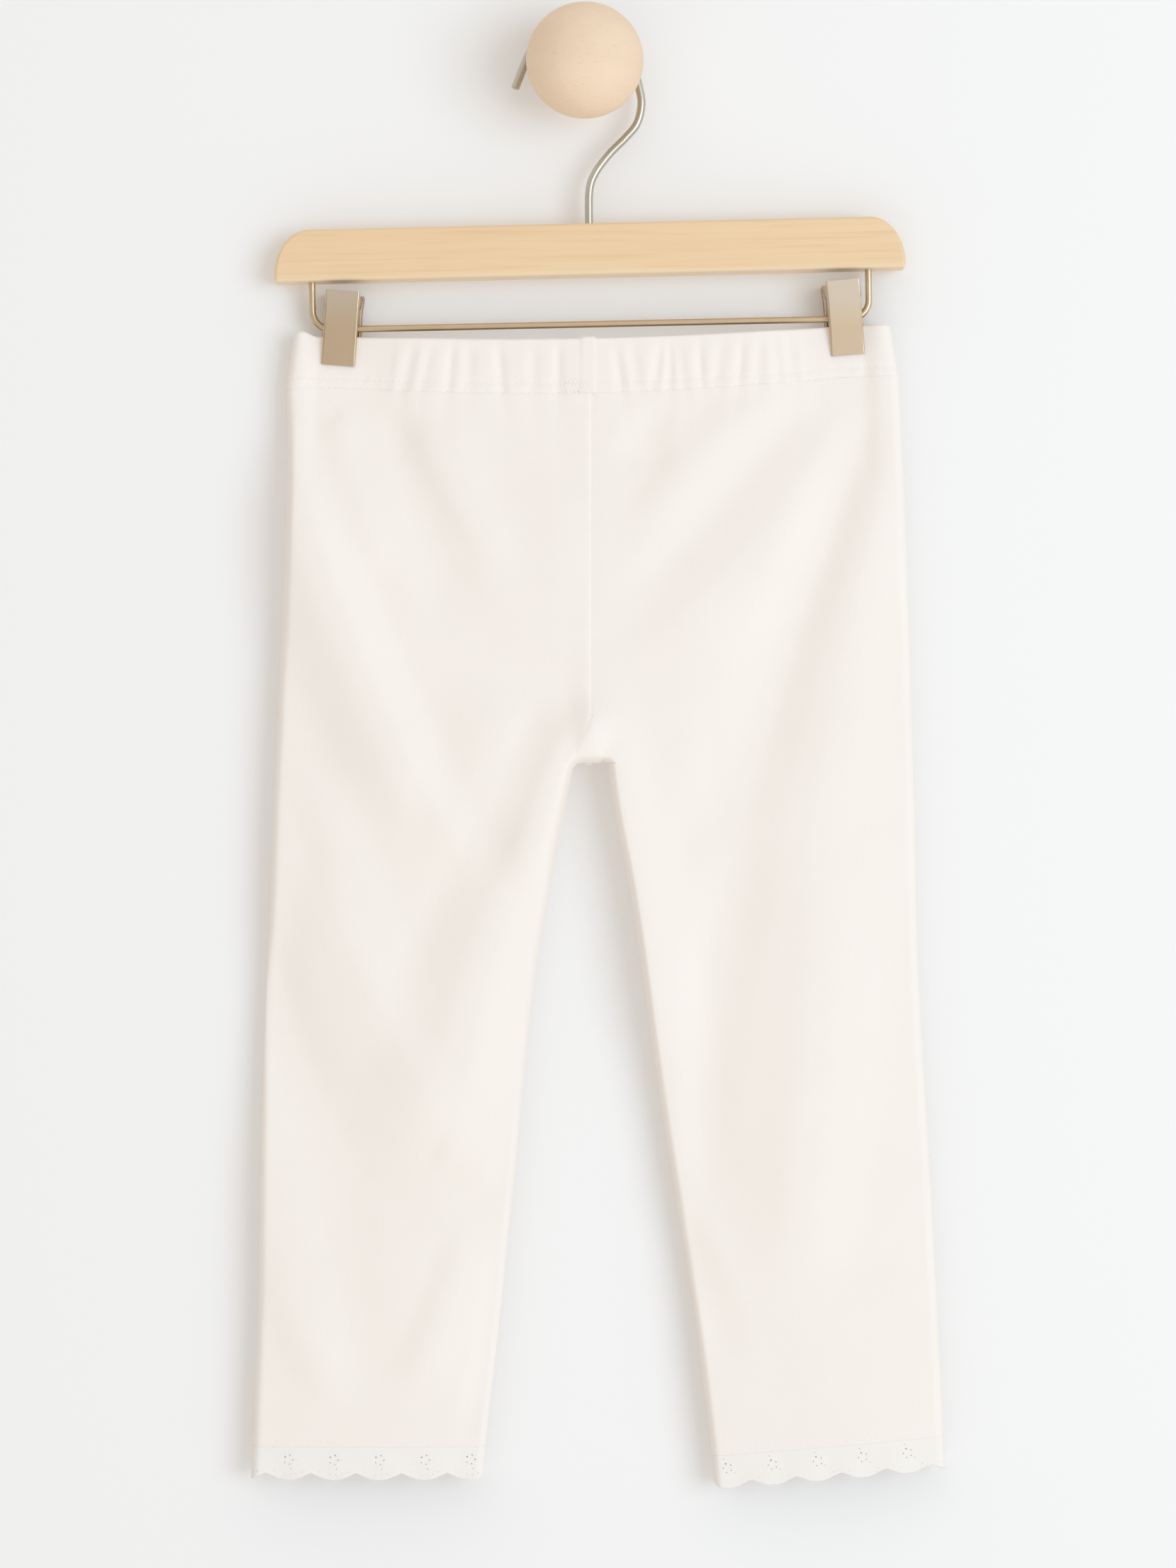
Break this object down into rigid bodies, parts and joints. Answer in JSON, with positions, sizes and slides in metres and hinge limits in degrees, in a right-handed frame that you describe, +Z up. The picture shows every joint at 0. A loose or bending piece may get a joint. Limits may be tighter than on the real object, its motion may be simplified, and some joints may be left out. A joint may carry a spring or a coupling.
{
  "type": "capri leggings on a clip hanger hung from a wall knob",
  "caption": "Child's white jersey capri leggings with a gathered elastic waist and scalloped lace hems, clipped flat on a wooden hanger that hangs from a wall knob.",
  "frame": {"origin": "centre of the knob's flat back, on the wall", "axes": "+Y into the wall, square to the knob's back, +Z up, +X to the right as seen from the front"},
  "size_m": [0.3306, 0.0641, 0.7055],
  "materials": {
    "beech": "fine sanded, unvarnished",
    "maple": "thin clear varnish",
    "nickel": "brushed nickel plate",
    "satin_plate": "satin nickel plate",
    "white_jersey": "matt cotton jersey",
    "cotton_lace": "matt cotton lace"
  },
  "bodies": {
    "root": {"wall_knob": "beech", "hanger_bar": "maple", "hanger_hook": "nickel", "clip_rod": "nickel", "left_clip_front": "satin_plate", "left_clip_back": "satin_plate", "left_clip_spring": "nickel", "right_clip_front": "satin_plate", "right_clip_back": "satin_plate", "right_clip_spring": "nickel", "waistband": "white_jersey", "left_leg": "white_jersey", "right_leg": "white_jersey", "crotch_gusset": "white_jersey", "left_lace": "cotton_lace", "right_lace": "cotton_lace"}
  },
  "joints": []
}
